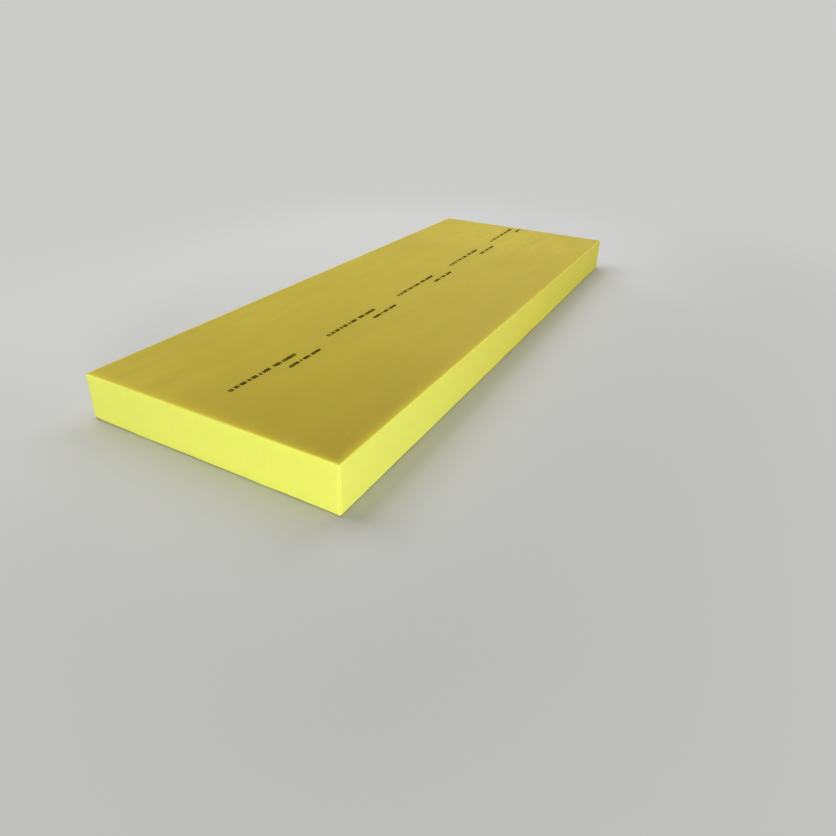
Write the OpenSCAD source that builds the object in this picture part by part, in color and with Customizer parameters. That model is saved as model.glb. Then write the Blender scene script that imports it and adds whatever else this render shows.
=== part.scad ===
// Slab of cast polyamide 6, sawn to size and with its edges broken.
// The origin is the middle of the face that it lies on. X runs along its length and Z points up.

/* [Slab] */
// Length, along X
slab_length = 800; // [100:10:2000]
// Width, along Y
slab_width = 300; // [50:10:1000]
// Thickness, along Z
slab_thickness = 50; // [10:1:150]

/* [Edges] */
// Radius of the broken edges round the upper face
upper_edge_r = 1; // [0.5:0.1:4]
// Radius of the edges round the lower face, which handling wears more
lower_edge_r = 2; // [0.5:0.1:4]
// Radius of the four upright corners
corner_r = 1.5; // [0.5:0.1:4]

/* [Hidden] */

// Facets on a full circle
$fn = 48;
// How far each prism below runs past the slab at both ends
overrun = 5;

// A block's outline from the side, standing on y = 0 and centred on x = 0.
// Its lower corners have the radius low_r and its upper corners high_r.
module side_outline(width, height, low_r, high_r) {
    half = width / 2;
    middle = height / 2;
    translate([-half, low_r])
        square([width, height - low_r - high_r]);
    translate([-half + low_r, 0])
        square([width - 2 * low_r, middle]);
    translate([-half + high_r, middle])
        square([width - 2 * high_r, middle]);
    for (side = [-1, 1]) {
        translate([side * (half - low_r), low_r])
            circle(r = low_r);
        translate([side * (half - high_r), height - high_r])
            circle(r = high_r);
    }
}

// The slab is what three prisms share: its cross-section run along the length,
// its long side run across the width, and its plan run through the thickness.
module slab() {
    color("#ddd95a")
    intersection() {
        rotate([90, 0, 90])
            linear_extrude(height = slab_length + 2 * overrun, center = true)
                side_outline(slab_width, slab_thickness, lower_edge_r, upper_edge_r);
        rotate([90, 0, 0])
            linear_extrude(height = slab_width + 2 * overrun, center = true)
                side_outline(slab_length, slab_thickness, lower_edge_r, upper_edge_r);
        translate([0, -slab_width / 2, -overrun])
            linear_extrude(height = slab_thickness + 2 * overrun)
                side_outline(slab_length, slab_width, corner_r, corner_r);
    }
}

slab();
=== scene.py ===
import math
import bpy
import numpy as np
from mathutils import Matrix, Vector


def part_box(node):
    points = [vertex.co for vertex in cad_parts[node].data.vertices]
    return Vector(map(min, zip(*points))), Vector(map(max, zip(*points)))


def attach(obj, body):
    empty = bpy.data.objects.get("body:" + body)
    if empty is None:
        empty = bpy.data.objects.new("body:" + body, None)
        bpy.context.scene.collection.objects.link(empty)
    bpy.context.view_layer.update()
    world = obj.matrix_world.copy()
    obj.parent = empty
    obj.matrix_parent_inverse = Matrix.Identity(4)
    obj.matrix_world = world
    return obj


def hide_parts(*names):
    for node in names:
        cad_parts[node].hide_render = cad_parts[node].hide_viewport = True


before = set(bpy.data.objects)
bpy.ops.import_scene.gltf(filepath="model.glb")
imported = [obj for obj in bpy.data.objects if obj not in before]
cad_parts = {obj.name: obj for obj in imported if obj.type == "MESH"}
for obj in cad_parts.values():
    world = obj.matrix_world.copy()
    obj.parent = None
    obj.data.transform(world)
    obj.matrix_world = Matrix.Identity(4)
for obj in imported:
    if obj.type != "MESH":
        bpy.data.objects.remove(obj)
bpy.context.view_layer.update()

mm = 0.001
slabLow, slabHigh = (np.array(corner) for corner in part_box("slab"))
waveSpread = (0.6, 1.7)    # the shortest and the longest wave of slowNoise, as shares of its size


def slowNoise(points, size, seed, waves=14):
    # The mean of sine waves that run in random directions, each about size long, scaled up to an even
    # strength for any number of waves and kept within -1 and 1
    draw = np.random.default_rng(seed)
    directions = draw.normal(size=(points.shape[1], waves))
    directions /= np.linalg.norm(directions, axis=0)
    lengths = size * draw.uniform(*waveSpread, waves)
    phases = draw.uniform(0, 2 * np.pi, waves)
    total = np.sin(points @ (2 * np.pi * directions / lengths) + phases).mean(axis=1)
    return np.clip(total * math.sqrt(waves), -1, 1)


def meshPiece(name, points, faces, material, smooth=True):
    # A new object at the origin, from an array of points and a list of the corners of each face
    mesh = bpy.data.meshes.new(name)
    mesh.from_pydata(points.tolist(), [], faces)
    mesh.polygons.foreach_set("use_smooth", np.full(len(faces), smooth))
    mesh.materials.append(material)
    mesh.update()
    piece = bpy.data.objects.new(name, mesh)
    bpy.context.scene.collection.objects.link(piece)
    return piece


def setAttribute(piece, name, values):
    # One number for each point of a piece, which its material reads by name
    layer = piece.data.attributes.new(name, "FLOAT", "POINT")
    layer.data.foreach_set("value", values.astype(np.float32))


def gridFaces(rows, columns):
    # The corners of each square of a grid whose points are numbered row by row
    corner = (np.arange(rows - 1)[:, None] * columns + np.arange(columns - 1)).ravel()
    return np.stack([corner, corner + columns, corner + columns + 1, corner + 1], axis=1)


def addNode(tree, kind, inputs=None, **settings):
    # An input that is given a socket is linked to it, and any other value is set on the node
    node = tree.nodes.new(kind)
    for key, value in settings.items():
        setattr(node, key, value)
    for key, value in (inputs or {}).items():
        if isinstance(value, bpy.types.NodeSocket):
            tree.links.new(value, node.inputs[key])
        else:
            node.inputs[key].default_value = value
    return node


def newMaterial(name):
    material = bpy.data.materials.new(name)
    material.use_nodes = True
    material.node_tree.nodes.clear()
    return material, material.node_tree


def newGroup(name, inputs, output):
    # Each input has its first value, or None for a vector, and the one output is a value.
    # Returns the group, the sockets that give its inputs and the socket that takes its output.
    group = bpy.data.node_groups.new(name, "ShaderNodeTree")
    for key, value in inputs.items():
        kind = "NodeSocketVector" if value is None else "NodeSocketFloat"
        socket = group.interface.new_socket(key, in_out="INPUT", socket_type=kind)
        if value is not None:
            socket.default_value = value
    group.interface.new_socket(output, in_out="OUTPUT", socket_type="NodeSocketFloat")
    given = group.nodes.new("NodeGroupInput").outputs
    return group, given, group.nodes.new("NodeGroupOutput").inputs[output]


def grouped(tree, group, **inputs):
    return addNode(tree, "ShaderNodeGroup", inputs, node_tree=group).outputs[0]


def calculate(tree, operation, first, second=0.0):
    return addNode(tree, "ShaderNodeMath", {0: first, 1: second}, operation=operation).outputs[0]


def between(tree, value, low, high):
    # A value from 0 to 1 made to run from low to high
    inputs = {"Value": value, "To Min": low, "To Max": high}
    return addNode(tree, "ShaderNodeMapRange", inputs).outputs[0]


def above(tree, value, low, high):
    # 0 up to low, then rising to 1 at high
    inputs = {"Value": value, "From Min": low, "From Max": high}
    return addNode(tree, "ShaderNodeMapRange", inputs).outputs[0]


def blendValues(tree, share, first, second):
    return addNode(tree, "ShaderNodeMix", {0: share, 2: first, 3: second}, data_type="FLOAT").outputs[0]


def blendColours(tree, share, first, second):
    return addNode(tree, "ShaderNodeMix", {0: share, 6: first, 7: second}, data_type="RGBA").outputs[2]


def noiseAt(tree, vector, scale, detail):
    inputs = {"Vector": vector, "Scale": scale, "Detail": detail}
    return addNode(tree, "ShaderNodeTexNoise", inputs).outputs[0]


mottleShape = dict(
    broadDetail=3.0,
    finer=5.3,        # how many times smaller the fine clouds are than the broad ones
    fineDetail=2.0,
    fineShare=0.35,   # how much the fine ones count
)


def mottleGroup(shape):
    # Cloudy patches: the weighted mean of two layers of noise, a broad one and a finer one, from 0 to 1
    group, given, result = newGroup("softMottle", {"Vector": None, "Size": 0.1}, "Mottle")
    scale = calculate(group, "DIVIDE", 1.0, given["Size"])
    broad = noiseAt(group, given["Vector"], scale, shape["broadDetail"])
    fineScale = calculate(group, "MULTIPLY", scale, shape["finer"])
    fine = noiseAt(group, given["Vector"], fineScale, shape["fineDetail"])
    group.links.new(blendValues(group, shape["fineShare"], broad, fine), result)
    return group


scratchShape = dict(
    stretch=(0.06, 1.0, 1.0),   # the noise is drawn out along X, and so are the scratches
    detail=1.0,
    middle=0.5,                 # the level that the noise passes on a scratch
    patchScale=0.35,            # the patches' scale, as a share of the scratches' own
    patchDetail=2.0,
    patchFull=0.75,             # the patch noise at which scratches show in full
)


def scratchGroup(shape):
    # Fine scratches: the thin zones where a noise that is stretched along one direction passes its middle,
    # kept only in patches. The result is 1 on a scratch and 0 off it.
    inputs = {"Vector": None, "Turn": 0.0, "Spacing": 0.02, "Thinness": 60.0, "Share": 0.5}
    group, given, result = newGroup("fineScratches", inputs, "Scratches")
    turned = addNode(
        group,
        "ShaderNodeVectorRotate",
        {"Vector": given["Vector"], "Angle": given["Turn"]},
        rotation_type="Z_AXIS",
    ).outputs[0]
    stretched = addNode(
        group,
        "ShaderNodeVectorMath",
        {0: turned, 1: shape["stretch"]},
        operation="MULTIPLY",
    ).outputs[0]
    scale = calculate(group, "DIVIDE", 1.0, given["Spacing"])
    noise = noiseAt(group, stretched, scale, shape["detail"])
    away = calculate(group, "ABSOLUTE", calculate(group, "SUBTRACT", noise, shape["middle"]))
    line = calculate(group, "SUBTRACT", 1.0, calculate(group, "MULTIPLY", away, given["Thinness"]))
    patchScale = calculate(group, "MULTIPLY", scale, shape["patchScale"])
    patch = noiseAt(group, turned, patchScale, shape["patchDetail"])
    inPatch = above(group, patch, given["Share"], shape["patchFull"])
    shown = calculate(group, "MULTIPLY", calculate(group, "MAXIMUM", line, 0.0), inPatch)
    group.links.new(shown, result)
    return group


softMottle = mottleGroup(mottleShape)
fineScratches = scratchGroup(scratchShape)

# The cast polyamide: its two cast faces are ochre with a low gloss, and its sawn sides are lemon and duller
nylonFinish = dict(
    darkCast=(0.395, 0.301, 0.020, 1),       # the cast skin where its tone is 0
    lightCast=(0.532, 0.419, 0.028, 1),      # and where it is 1
    rubbedColour=(0.437, 0.342, 0.027, 1),   # soft streaks along the slab, where others have slid over it
    streakStretch=(0.22, 1.0, 1.0),          # the streaks are drawn out along X
    streakSize=20 * mm,
    streakFrom=0.42,                         # the mottle at which a streak begins and is full
    streakTo=0.72,
    scuffColour=(0.58, 0.49, 0.10, 1),       # a scratch
    scuffStrength=0.12,
    scratches=[
        dict(Turn=0.5, Spacing=30 * mm, Thinness=70.0, Share=0.50),
        dict(Turn=2.2, Spacing=50 * mm, Thinness=110.0, Share=0.52),
    ],
    warmGlowColour=(0.63, 0.425, 0.021, 1),         # painted glow on the cast skin near an edge, for light that comes through the sides
    glowPatch=15 * mm,                       # the size of the clouds that the painted glow has
    glowSpread=(0.55, 1.35),                 # how weak and how strong it is in them
    glowEdgeColour=(0.59, 0.59, 0.045, 1),        # the painted glow closest to the edge, yellow
    glowEdgePower=2.0,                            # how many times sooner that fades than the warm painted glow
    sawnColour=(0.80, 0.835, 0.140, 1),      # the sawn sides
    sawnCloud=(0.77, 0.80, 0.135, 1),        # what the saw's lines shade them to
    sawnSmudge=(0.70, 0.72, 0.14, 1),        # where hands have held them
    smudgeSize=50 * mm,
    smudgeFrom=0.60,                         # the mottle at which a smudge begins and is full
    smudgeTo=0.85,
    shadedSawn=(0.87, 0.780, 0.082, 1),        # painted shade with bounced ochre light, which the -Y side deepens to at the +X end
    glowColour=(0.785, 0.80, 0.172, 1),      # the sawn colour close to an upright edge: a painted highlight, as if lit from both sides
    edgeShadeColour=(0.52, 0.55, 0.108, 1),       # painted shade: a darker sawn colour on the rounded edges that face -X or -Y, which tones down their highlight
    sawScale=420.0,                          # the saw's lines to each metre along the cut
    sawDetail=3.0,
    sawStretch=(1.0, 1.0, 0.03),             # they stand upright
    sawDepth=0.05 * mm,
    grainScale=60.0,                         # the cast skin's shallow hollows to each metre
    grainDetail=5.0,
    castDepth=0.10 * mm,
    scratchDepth=0.06,                       # how deep a scratch is, as a share of those hollows
    castRoughness=0.42,
    rubbedRoughness=0.52,
    scratchRoughness=0.10,                   # what a scratch adds
    sawnRoughness=0.55,
    sawnSpread=0.06,                         # how far the saw's lines make that stray
    scatterReach=5 * mm,                     # how far red light travels inside the plastic
    scatterShare=(1.0, 0.80, 0.15),          # how far red, green and blue travel, as shares of that
    refraction=1.53,
    gloss=0.08,
)


def readAttribute(tree, name):
    return addNode(tree, "ShaderNodeAttribute", attribute_name=name).outputs["Fac"]


def stretchedPlace(tree, place, stretch):
    return addNode(tree, "ShaderNodeMapping", {"Vector": place, "Scale": stretch}).outputs[0]


def castSkin(tree, finish, place):
    # Colour, roughness and height of the two cast faces: tone with its painted shade and light, streaks,
    # scratches, and the painted glow near the rim of light that comes through the sides: warm, cloudy, and
    # yellow where strongest
    streakPlace = stretchedPlace(tree, place, finish["streakStretch"])
    mottle = grouped(tree, softMottle, Vector=streakPlace, Size=finish["streakSize"])
    rubbed = above(tree, mottle, finish["streakFrom"], finish["streakTo"])
    layers = [grouped(tree, fineScratches, Vector=place, **scratch) for scratch in finish["scratches"]]
    scratches = calculate(tree, "MAXIMUM", *layers)
    scuffed = calculate(tree, "MULTIPLY", scratches, finish["scuffStrength"])
    tinted = blendColours(tree, readAttribute(tree, "toneAndShading"), finish["darkCast"], finish["lightCast"])
    streaked = blendColours(tree, rubbed, tinted, finish["rubbedColour"])
    marked = blendColours(tree, scuffed, streaked, finish["scuffColour"])
    # Painted glow near the rim: light that comes through the sides, painted into the skin's colour
    rimGlow = readAttribute(tree, "rimGlow")
    clouds = grouped(tree, softMottle, Vector=place, Size=finish["glowPatch"])
    glowShare = calculate(tree, "MULTIPLY", rimGlow, between(tree, clouds, *finish["glowSpread"]))
    glowTinted = blendColours(tree, glowShare, marked, finish["warmGlowColour"])
    glowEdgeShare = calculate(tree, "POWER", rimGlow, finish["glowEdgePower"])
    colour = blendColours(tree, glowEdgeShare, glowTinted, finish["glowEdgeColour"])

    smooth = between(tree, rubbed, finish["castRoughness"], finish["rubbedRoughness"])
    scratchGain = calculate(tree, "MULTIPLY", scratches, finish["scratchRoughness"])
    roughness = calculate(tree, "ADD", smooth, scratchGain)
    grain = noiseAt(tree, place, finish["grainScale"], finish["grainDetail"])
    cut = calculate(tree, "MULTIPLY", scratches, finish["scratchDepth"])
    return colour, roughness, calculate(tree, "SUBTRACT", grain, cut)


def sawnSkin(tree, finish, place):
    # Colour, roughness and height of the sawn sides: upright lines, smudges, the -Y side's painted shade,
    # and the painted highlight by the upright edges and the painted shade on the edges that face -X or -Y
    sawPlace = stretchedPlace(tree, place, finish["sawStretch"])
    saw = noiseAt(tree, sawPlace, finish["sawScale"], finish["sawDetail"])
    mottle = grouped(tree, softMottle, Vector=place, Size=finish["smudgeSize"])
    smudge = above(tree, mottle, finish["smudgeFrom"], finish["smudgeTo"])
    lined = blendColours(tree, saw, finish["sawnColour"], finish["sawnCloud"])
    smudged = blendColours(tree, smudge, lined, finish["sawnSmudge"])
    # Painted shade with bounced ochre light on the -Y side, deepening towards +X
    sideShaded = blendColours(tree, readAttribute(tree, "drift"), smudged, finish["shadedSawn"])
    # Painted highlight close to the upright edges, as if lit from both sides
    lit = blendColours(tree, readAttribute(tree, "glow"), sideShaded, finish["glowColour"])
    # Painted shade on the rounded edges that face -X or -Y
    colour = blendColours(tree, readAttribute(tree, "edge"), lit, finish["edgeShadeColour"])
    low = finish["sawnRoughness"] - finish["sawnSpread"]
    high = finish["sawnRoughness"] + finish["sawnSpread"]
    return colour, between(tree, saw, low, high), saw


def raised(tree, height, depth, **under):
    # A bump as deep as depth, over the bump that is given as Normal
    inputs = {"Height": height, "Strength": 1.0, "Distance": depth}
    return addNode(tree, "ShaderNodeBump", inputs | under).outputs[0]


def castNylon(finish):
    material, tree = newMaterial("castNylon")
    place = addNode(tree, "ShaderNodeTexCoord").outputs["Object"]
    castFace = readAttribute(tree, "castFace")
    sawnFace = calculate(tree, "SUBTRACT", 1.0, castFace)
    castColour, castRough, castHeight = castSkin(tree, finish, place)
    sawnColour, sawnRough, sawnHeight = sawnSkin(tree, finish, place)
    sawHeight = calculate(tree, "MULTIPLY", sawnHeight, sawnFace)
    skinHeight = calculate(tree, "MULTIPLY", castHeight, castFace)
    sawBump = raised(tree, sawHeight, finish["sawDepth"])
    bump = raised(tree, skinHeight, finish["castDepth"], Normal=sawBump)
    shader = addNode(
        tree,
        "ShaderNodeBsdfPrincipled",
        {
            "Base Color": blendColours(tree, castFace, sawnColour, castColour),
            "Roughness": blendValues(tree, castFace, sawnRough, castRough),
            "IOR": finish["refraction"],
            "Specular IOR Level": finish["gloss"],
            "Subsurface Weight": 1.0,
            "Subsurface Radius": finish["scatterShare"],
            "Subsurface Scale": finish["scatterReach"],
            "Normal": bump,
        },
    )
    addNode(tree, "ShaderNodeOutputMaterial", {"Surface": shader.outputs[0]})
    return material


slabShape = dict(
    upperEdge=1.0 * mm,      # radius of the broken edges round the upper face
    lowerEdge=2.0 * mm,      # radius round the lower face, which handling wears more
    uprightEdge=2.4 * mm,    # radius of the four upright edges at half height
    wear=0.25,               # how far the radius strays from these, as a share of it
    wearLength=45 * mm,      # and how far along it takes to stray
    knock=1.6 * mm,          # what a blow adds to the radius at the lower corner of the -X end, +Y side
    knockReach=12 * mm,      # and how far from that corner it fades
    skinEnd=0.85,            # the cast skin ends where the surface faces up by less than this share
    rimGlowReach=5 * mm,         # how far in from the edges the painted glow of light that comes through the sides shows
    rimGlowRun=550 * mm,         # how far along X it takes to weaken
    rimGlowBack=0.10,            # how strong it is along the +X end and the +Y side
    glowReach=4 * mm,        # how far the upright edges' painted highlight shows on the sides
    sideShadeReach=345 * mm,     # how far along X the -Y side's painted shade takes to deepen
    waveDepth=0.08 * mm,     # how deep the slow waves in the upper face are
    waveLength=140 * mm,     # and how long they are
    step=5 * mm,             # spacing of the grid in the middle of a face
    fineStep=0.3 * mm,       # spacing close to the edges
    fineReach=3.6 * mm,      # as far as this
    nearStep=1.2 * mm,       # spacing beyond that, where the rim fades
    nearReach=12 * mm,       # as far as this
    weld=0.01 * mm,          # points that share a cell of this size are one
)

# Where the cast skin is darker or lighter: a bell curve each, with its middle and its reach along X and Y.
# The five broad ones are painted shade and painted light, and the three small dark ones are stains
toneAndShadingPatches = [
    dict(middle=(-0.390, -0.150), reach=(0.130, 0.110), change=-0.42),
    dict(middle=(0.300, -0.040), reach=(0.060, 0.100), change=0.44),
    dict(middle=(-0.400, 0.140), reach=(0.070, 0.090), change=0.22),
    dict(middle=(0.210, 0.130), reach=(0.070, 0.050), change=-0.25),
    dict(middle=(-0.180, -0.150), reach=(0.220, 0.040), change=-0.12),
    dict(middle=(-0.304, -0.136), reach=(0.009, 0.006), change=-0.30),
    dict(middle=(0.030, 0.049), reach=(0.020, 0.007), change=-0.15),
    dict(middle=(0.124, 0.040), reach=(0.008, 0.014), change=-0.18),
]
toneShape = dict(middle=0.49, change=0.06, length=170 * mm)    # and the slow waves of its tone


def castToneAndShading(flat):
    # How light the cast skin is at each (x, y), from 0 to 1: slow waves round a middle tone, and patches of
    # painted shade, painted light and stains
    toneAndShading = toneShape["middle"] + toneShape["change"] * slowNoise(flat, toneShape["length"], seed=5)
    # The broad patches paint shade and light, and the small dark ones are stains
    for patch in toneAndShadingPatches:
        away = np.linalg.norm((flat - patch["middle"]) / patch["reach"], axis=1)
        toneAndShading = toneAndShading + patch["change"] * np.exp(-(away**2))
    return np.clip(toneAndShading, 0, 1)


def waveDip(flat):
    # How far the upper face lies below the slab's full height at each (x, y): slow waves, never above it
    wave = slowNoise(flat, slabShape["waveLength"], seed=3)
    return slabShape["waveDepth"] * (0.5 - 0.5 * wave)


def stations(low, high):
    # Places from low to high: close together near both ends, and evenly spaced between
    shape = slabShape
    fineCount = round(shape["fineReach"] / shape["fineStep"])
    nearCount = round((shape["nearReach"] - shape["fineReach"]) / shape["nearStep"])
    fine = np.linspace(0, shape["fineReach"], fineCount, endpoint=False)
    near = np.linspace(shape["fineReach"], shape["nearReach"], nearCount, endpoint=False)
    edge = np.concatenate([fine, near])
    inLow, inHigh = low + shape["nearReach"], high - shape["nearReach"]
    count = round((inHigh - inLow) / shape["step"]) + 1
    return np.concatenate([low + edge, np.linspace(inLow, inHigh, count), (high - edge)[::-1]])


def boxGrids():
    # The six faces of the sharp box as grids that share their border points, and the corners of each square
    lines = [stations(slabLow[axis], slabHigh[axis]) for axis in range(3)]
    points, faces, count = [], [], 0
    for axis in range(3):
        across, up = (axis + 1) % 3, (axis + 2) % 3
        acrossGrid, upGrid = np.meshgrid(lines[across], lines[up], indexing="ij")
        squares = gridFaces(*acrossGrid.shape)
        for level, turned in ((slabLow[axis], False), (slabHigh[axis], True)):
            face = np.empty((acrossGrid.size, 3))
            face[:, axis] = level
            face[:, across] = acrossGrid.ravel()
            face[:, up] = upGrid.ravel()
            points.append(face)
            # The squares run clockwise as seen from outside on the high side, so there they are turned
            faces.append((squares[:, ::-1] if turned else squares) + count)
            count += len(face)
    points = np.concatenate(points)
    cells = np.round(points / slabShape["weld"]).astype(int)
    _, first, shared = np.unique(cells, axis=0, return_index=True, return_inverse=True)
    return points[first], shared.ravel()[np.concatenate(faces)]


def edgeRadius(sharp):
    # The radius of the edges near each point of the sharp box. It runs from the upper to the lower edges
    # with a parabola's swell between them, strays with the wear, and swells as a bell curve round the
    # knocked corner.
    shape = slabShape
    height = (sharp[:, 2:] - slabLow[2]) / (slabHigh[2] - slabLow[2])
    swell = shape["uprightEdge"] - (shape["lowerEdge"] + shape["upperEdge"]) / 2
    radius = shape["lowerEdge"] + (shape["upperEdge"] - shape["lowerEdge"]) * height
    radius = radius + swell * 4 * height * (1 - height)
    radius = radius * (1 + shape["wear"] * slowNoise(sharp, shape["wearLength"], seed=1)[:, None])
    knocked = np.array([slabLow[0], slabHigh[1], slabLow[2]])
    fromKnock = np.linalg.norm(sharp - knocked, axis=1, keepdims=True)
    return radius + shape["knock"] * np.exp(-((fromKnock / shape["knockReach"]) ** 2))


def paintAttributes(piece, points, outward):
    # What the material reads at each point, from 0 to 1, worked out from its place and its direction
    shape = slabShape
    # The cast skin covers the two broad faces and wears through to the sawn colour on the edges' rounding
    skin = (np.abs(outward[:, 2]) - shape["skinEnd"]) / (1 - shape["skinEnd"])
    setAttribute(piece, "castFace", np.clip(skin, 0, 1))
    setAttribute(piece, "toneAndShading", castToneAndShading(points[:, :2]))
    # The drift is painted shade with bounced ochre light, on the -Y side alone. It nears 1 away from the -X
    # end, as 1 less a bell curve does.
    fromEnd = points[:, 0] - slabLow[0]
    sideShade = 1 - np.exp(-((fromEnd / shape["sideShadeReach"]) ** 2))
    setAttribute(piece, "drift", sideShade * np.clip(-outward[:, 1], 0, 1))
    # An edge is where the surface turns away from all three axes, and those that face -X or -Y get painted
    # shade.
    # A direction halfway between two axes has this length along each of them.
    halfway = math.sqrt(0.5)
    turned = (1 - np.abs(outward).max(axis=1)) / (1 - halfway)
    facing = -(outward[:, 0] + outward[:, 1]) / halfway
    setAttribute(piece, "edge", np.clip(turned, 0, 1) * np.clip(facing, 0, 1))
    # The rim's painted glow fades away from the nearest side, and the painted highlight from the nearest
    # upright edge.
    # The painted glow is strongest round the corner of the -X end and the -Y side, which are lit most, and
    # weakens along X as a bell curve.
    fromLow = points[:, :2] - slabLow[:2]
    fromHigh = slabHigh[:2] - points[:, :2]
    # The rim's painted glow is strong near the lit -X end and -Y side, and weak along the +X end and +Y
    # side
    strength = np.exp(-((fromEnd / shape["rimGlowRun"]) ** 2))
    nearGlow = strength * np.exp(-fromLow.min(axis=1) / shape["rimGlowReach"])
    backGlow = shape["rimGlowBack"] * np.exp(-fromHigh.min(axis=1) / shape["rimGlowReach"])
    setAttribute(piece, "rimGlow", np.maximum(nearGlow, backGlow))
    fromUpright = np.linalg.norm(np.minimum(fromLow, fromHigh), axis=1)
    setAttribute(piece, "glow", np.exp(-fromUpright / shape["glowReach"]))


def slabPiece(material):
    # Each point of the sharp box moves to the distance r from the box that is inset by r, which rounds
    # the edges to the radius r, and the upper face then sinks by its waves
    sharp, faces = boxGrids()
    radius = edgeRadius(sharp)
    inner = np.clip(sharp, slabLow + radius, slabHigh - radius)
    outward = sharp - inner
    outward /= np.linalg.norm(outward, axis=1, keepdims=True)
    points = inner + radius * outward
    points[:, 2] -= waveDip(points[:, :2]) * np.clip(outward[:, 2], 0, 1)
    piece = meshPiece("castSlab", points, faces.tolist(), material)
    paintAttributes(piece, points, outward)
    return piece


slab = slabPiece(castNylon(nylonFinish))
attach(slab, "root")
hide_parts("slab")
print("slab:", len(slab.data.polygons), "faces")


# Ink-jet lines on the upper face: plain running digits in a matrix of dots, printed again and again
digitRows = {
    "0": "01110 10001 10001 10001 10001 10001 01110",
    "1": "00100 01100 00100 00100 00100 00100 01110",
    "2": "01110 10001 00001 00010 00100 01000 11111",
    "3": "11111 00010 00100 00010 00001 10001 01110",
    "4": "00010 00110 01010 10010 11111 00010 00010",
    "5": "11111 10000 11110 00001 00001 10001 01110",
    "6": "00110 01000 10000 11110 10001 10001 01110",
    "7": "11111 00001 00010 00100 01000 01000 01000",
    "8": "01110 10001 10001 01110 10001 10001 01110",
    "9": "01110 10001 10001 01111 00001 00010 01100",
    " ": "00000 00000 00000 00000 00000 00000 00000",
}
# Each line has its start from the -X end, its pitch from one print to the next, its side of the slab's
# middle and the spacing of its rows of dots
printLines = [
    dict(
        digits="12 34 567 8 901 2 3456  7890 12345678",
        start=45.1 * mm,
        pitch=152.6 * mm,
        side=7.0 * mm,
        row=0.58 * mm,
    ),
    dict(
        digits="123456 7 8901 234567",
        start=114.5 * mm,
        pitch=157.3 * mm,
        side=-7.8 * mm,
        row=0.48 * mm,
    ),
]
printShape = dict(
    repeats=5,
    column=0.437 * mm,       # from one column of dots to the next
    columnsEach=6,           # the dots' five columns and a gap
    middleRow=3,             # the row of dots that lies on the line
    stretch=0.070,           # how much the print has lengthened after each metre of its run
    drift=0.0088,            # how much a line strays towards +Y for each metre along
    bow=3.5 * mm,            # and how far it has bent that way at both ends of the slab
    dotRadius=0.76 * mm,
    dotSpread=(0.85, 1.12),  # the smallest and the largest dot, as shares of that
    dotSeed=11,
    inkHeight=0.03 * mm,     # how far the ink stands above the face
    inkFoot=0.06 * mm,       # how far it goes into it
    margin=2.0 * mm,         # bare strip before the slab's end
    corners=8,               # of a dot, which is a prism
)


def lineDots(line):
    # Centres of one line's dots for all its repeats. A dot's run is the pitches before it and its column,
    # and its x grows a little faster than that. Its y is its row, on a line that slants and bends.
    shape = printShape
    glyphs = np.array([[list(row) for row in digitRows[digit].split()] for digit in line["digits"]]) == "1"
    digit, row, column = np.nonzero(glyphs)
    along = (digit * shape["columnsEach"] + column) * shape["column"]
    up = (shape["middleRow"] - row) * line["row"]
    starts = line["pitch"] * np.arange(shape["repeats"])
    run = (starts[:, None] + along).ravel()
    x = slabLow[0] + line["start"] + run * (1 + shape["stretch"] * run)
    y = np.tile(up, shape["repeats"]) + line["side"] + shape["drift"] * x
    y = y + shape["bow"] * (x / slabHigh[0]) ** 2
    inside = x < slabHigh[0] - shape["margin"]
    return np.stack([x, y], axis=1)[inside]


def printPiece(material):
    # Each dot is a low closed prism: two rings of points round its centre, one in the face, one above it
    shape = printShape
    count = shape["corners"]
    centres = np.concatenate([lineDots(line) for line in printLines])
    draw = np.random.default_rng(shape["dotSeed"])
    radii = shape["dotRadius"] * draw.uniform(*shape["dotSpread"], len(centres))
    angles = np.arange(count) * 2 * np.pi / count
    ring = np.stack([np.cos(angles), np.sin(angles)], axis=1)
    flat = centres[:, None, :] + radii[:, None, None] * ring
    face = slabHigh[2] - waveDip(centres)
    levels = np.stack([face - shape["inkFoot"], face + shape["inkHeight"]], axis=1)
    rings = np.empty((len(centres), 2, count, 3))
    rings[..., :2] = flat[:, None]
    rings[..., 2] = levels[:, :, None]
    corner = np.arange(count)
    following = np.roll(corner, -1)
    sides = np.stack([corner, following, following + count, corner + count], axis=1)
    first = np.arange(len(centres))[:, None] * 2 * count
    walls = (first[:, :, None] + sides).reshape(-1, 4)
    lids = np.concatenate([first + corner[::-1], first + corner + count])
    faces = walls.tolist() + lids.tolist()
    return meshPiece("inkLines", rings.reshape(-1, 3), faces, material, smooth=False)


inkFinish = dict(
    darkColour=(0.040, 0.023, 0.002, 1),
    thinColour=(0.075, 0.046, 0.003, 1),   # where the plastic shows through thinner ink
    thinSize=4 * mm,
    darkRoughness=0.62,
    thinRoughness=0.82,
    gloss=0.0,
)


def printInk(finish):
    material, tree = newMaterial("printInk")
    place = addNode(tree, "ShaderNodeTexCoord").outputs["Object"]
    thin = grouped(tree, softMottle, Vector=place, Size=finish["thinSize"])
    shader = addNode(
        tree,
        "ShaderNodeBsdfPrincipled",
        {
            "Base Color": blendColours(tree, thin, finish["darkColour"], finish["thinColour"]),
            "Roughness": between(tree, thin, finish["darkRoughness"], finish["thinRoughness"]),
            "Specular IOR Level": finish["gloss"],
        },
    )
    addNode(tree, "ShaderNodeOutputMaterial", {"Surface": shader.outputs[0]})
    return material


ink = printPiece(printInk(inkFinish))
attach(ink, "root")
print("ink:", len(ink.data.polygons), "faces")


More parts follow.
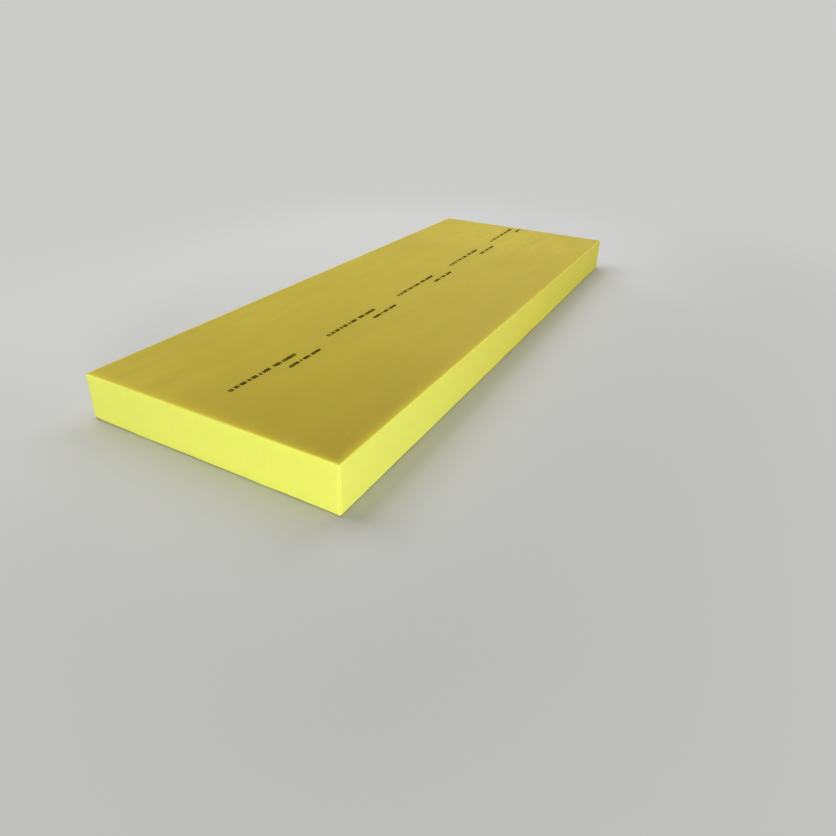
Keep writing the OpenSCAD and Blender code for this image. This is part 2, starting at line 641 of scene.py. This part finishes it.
floorShape = dict(
    hub=0.001,                           # radius of the smallest ring of points
    firstRing=0.5,                       # of the next
    reach=9.0,                           # and of the last
    rings=18,
    spokes=96,
    colour=(0.58, 0.58, 0.57, 1),
    bounce=(0.30, 0.30, 0.293, 1),       # the duller tone that lights the slab's sides from below
    roughness=0.8,
    gloss=0.0,
    backdrop=(0.60, 0.60, 0.59, 1),      # the pale tone that the floor fades to and that stands behind it
    fadeFrom=0.05,                       # how far from the slab the fade begins and ends
    fadeTo=0.65,
)


def seenDirectly(tree):
    # 1 for what the camera, a reflection or glass shows, and 0 for what lights the object
    path = addNode(tree, "ShaderNodeLightPath").outputs
    mirrored = calculate(tree, "MAXIMUM", path["Is Glossy Ray"], path["Is Transmission Ray"])
    return calculate(tree, "MAXIMUM", path["Is Camera Ray"], mirrored)


def slabDistance(tree, place):
    # How far a place on the floor is from the slab: the length of what |x| and |y| go past its half sizes
    halfSize = (slabHigh[0], slabHigh[1], 0)
    size = addNode(tree, "ShaderNodeVectorMath", {0: place}, operation="ABSOLUTE").outputs[0]
    past = addNode(tree, "ShaderNodeVectorMath", {0: size, 1: halfSize}, operation="SUBTRACT").outputs[0]
    outside = addNode(tree, "ShaderNodeVectorMath", {0: past, 1: (0, 0, 0)}, operation="MAXIMUM").outputs[0]
    return addNode(tree, "ShaderNodeVectorMath", {0: outside}, operation="LENGTH").outputs["Value"]


def floorPaint(shape):
    # Plain paint that fades, with the distance from the slab, into the backdrop's even tone
    material, tree = newMaterial("floorPaint")
    place = addNode(tree, "ShaderNodeTexCoord").outputs["Object"]
    fade = addNode(
        tree,
        "ShaderNodeMapRange",
        {
            "Value": slabDistance(tree, place),
            "From Min": shape["fadeFrom"],
            "From Max": shape["fadeTo"],
        },
        interpolation_type="SMOOTHERSTEP",
    ).outputs[0]
    seen = seenDirectly(tree)
    colour = blendColours(tree, seen, shape["bounce"], shape["colour"])
    paint = addNode(
        tree,
        "ShaderNodeBsdfPrincipled",
        {"Base Color": colour, "Roughness": shape["roughness"], "Specular IOR Level": shape["gloss"]},
    ).outputs[0]
    even = addNode(tree, "ShaderNodeEmission", {"Color": shape["backdrop"], "Strength": 1.0}).outputs[0]
    share = calculate(tree, "MULTIPLY", fade, seen)
    mixed = addNode(tree, "ShaderNodeMixShader", {0: share, 1: paint, 2: even}).outputs[0]
    addNode(tree, "ShaderNodeOutputMaterial", {"Surface": mixed})
    return material


def floorPiece(shape):
    # A flat disc: rings of points whose radius grows from the middle, turned round Z
    out = np.concatenate([[shape["hub"]], np.linspace(shape["firstRing"], shape["reach"], shape["rings"])])
    turn = np.linspace(0, 2 * np.pi, shape["spokes"] + 1)[:, None]
    level = np.zeros((len(turn), len(out)))
    points = np.stack([out * np.cos(turn), out * np.sin(turn), level], axis=2)
    faces = gridFaces(len(turn), len(out))[:, ::-1]
    return meshPiece("floor", points.reshape(-1, 3), faces.tolist(), floorPaint(shape))


floorPiece(floorShape)
print("floor is in place")

# Soft lights: each is a rectangular area lamp that faces its aim. The back lamp only brightens the sides
# that the others leave dark, so it isn't mirrored in the slab or the floor.
lamps = [
    dict(
        name="keyLamp",
        place=(-2.05, -1.55, 0.25),
        aim=(-1.36, 0.3, 0.03),
        size=(1.2, 0.4),
        power=64,
        mirrored=True,
    ),
    dict(
        name="farLamp",
        place=(0.9, 0, 1.2),
        aim=(0.2, 0, 0.05),
        size=(1.0, 1.0),
        power=9.1,
        mirrored=True,
    ),
    dict(
        name="leftLamp",
        place=(-0.2, 0.9, 1.4),
        aim=(0, 0, 0.05),
        size=(1.2, 1.2),
        power=16.4,
        mirrored=True,
    ),
    dict(
        name="backLamp",
        place=(1.9, 1.5, 0.4),
        aim=(0.2, 0, 0.03),
        size=(1.4, 0.6),
        power=20,
        mirrored=False,
    ),
]
for lamp in lamps:
    data = bpy.data.lights.new(lamp["name"], "AREA")
    data.shape = "RECTANGLE"
    data.size, data.size_y = lamp["size"]
    data.energy = lamp["power"]
    light = bpy.data.objects.new(lamp["name"], data)
    light.location = lamp["place"]
    towards = Vector(lamp["aim"]) - Vector(lamp["place"])
    light.rotation_euler = towards.to_track_quat("-Z", "Y").to_euler()
    light.visible_camera = False
    light.visible_glossy = lamp["mirrored"]
    bpy.context.scene.collection.objects.link(light)

studio = dict(
    light=0.2,                # how strongly the room lights the slab
    colour=(1, 1, 1, 1),
)


def studioWorld(settings):
    # The room lights the slab evenly, and shows the backdrop's tone
    world = bpy.data.worlds.new("studio")
    world.use_nodes = True
    tree = world.node_tree
    tree.nodes.clear()
    lighting = addNode(
        tree,
        "ShaderNodeBackground",
        {"Color": settings["colour"], "Strength": settings["light"]},
    ).outputs[0]
    shown = addNode(
        tree,
        "ShaderNodeBackground",
        {"Color": floorShape["backdrop"], "Strength": 1.0},
    ).outputs[0]
    mixed = addNode(tree, "ShaderNodeMixShader", {0: seenDirectly(tree), 1: lighting, 2: shown}).outputs[0]
    addNode(tree, "ShaderNodeOutputWorld", {"Surface": mixed})
    return world


bpy.context.scene.world = studioWorld(studio)
print("lights are in place")

# The camera stands off the slab's near corner and looks down along it
viewFrom = dict(
    place=(-0.7419, -0.3979, 0.3418),
    heading=28.04,        # degrees, from +X towards +Y
    pitch=23.74,          # degrees down
    roll=1.65,
    lens=27.85,
    rise=-0.0933,         # the lens shift that frames the slab
)
cameraData = bpy.data.cameras.new("camera")
cameraData.lens = viewFrom["lens"]
cameraData.shift_y = viewFrom["rise"]
camera = bpy.data.objects.new("camera", cameraData)
camera.matrix_world = (
    Matrix.Translation(viewFrom["place"])
    @ Matrix.Rotation(math.radians(viewFrom["heading"] - 90), 4, "Z")
    @ Matrix.Rotation(math.radians(90 - viewFrom["pitch"]), 4, "X")
    @ Matrix.Rotation(math.radians(viewFrom["roll"]), 4, "Z")
)
bpy.context.scene.collection.objects.link(camera)
bpy.context.scene.camera = camera
bpy.context.scene.view_settings.view_transform = "Standard"
print("camera is in place")
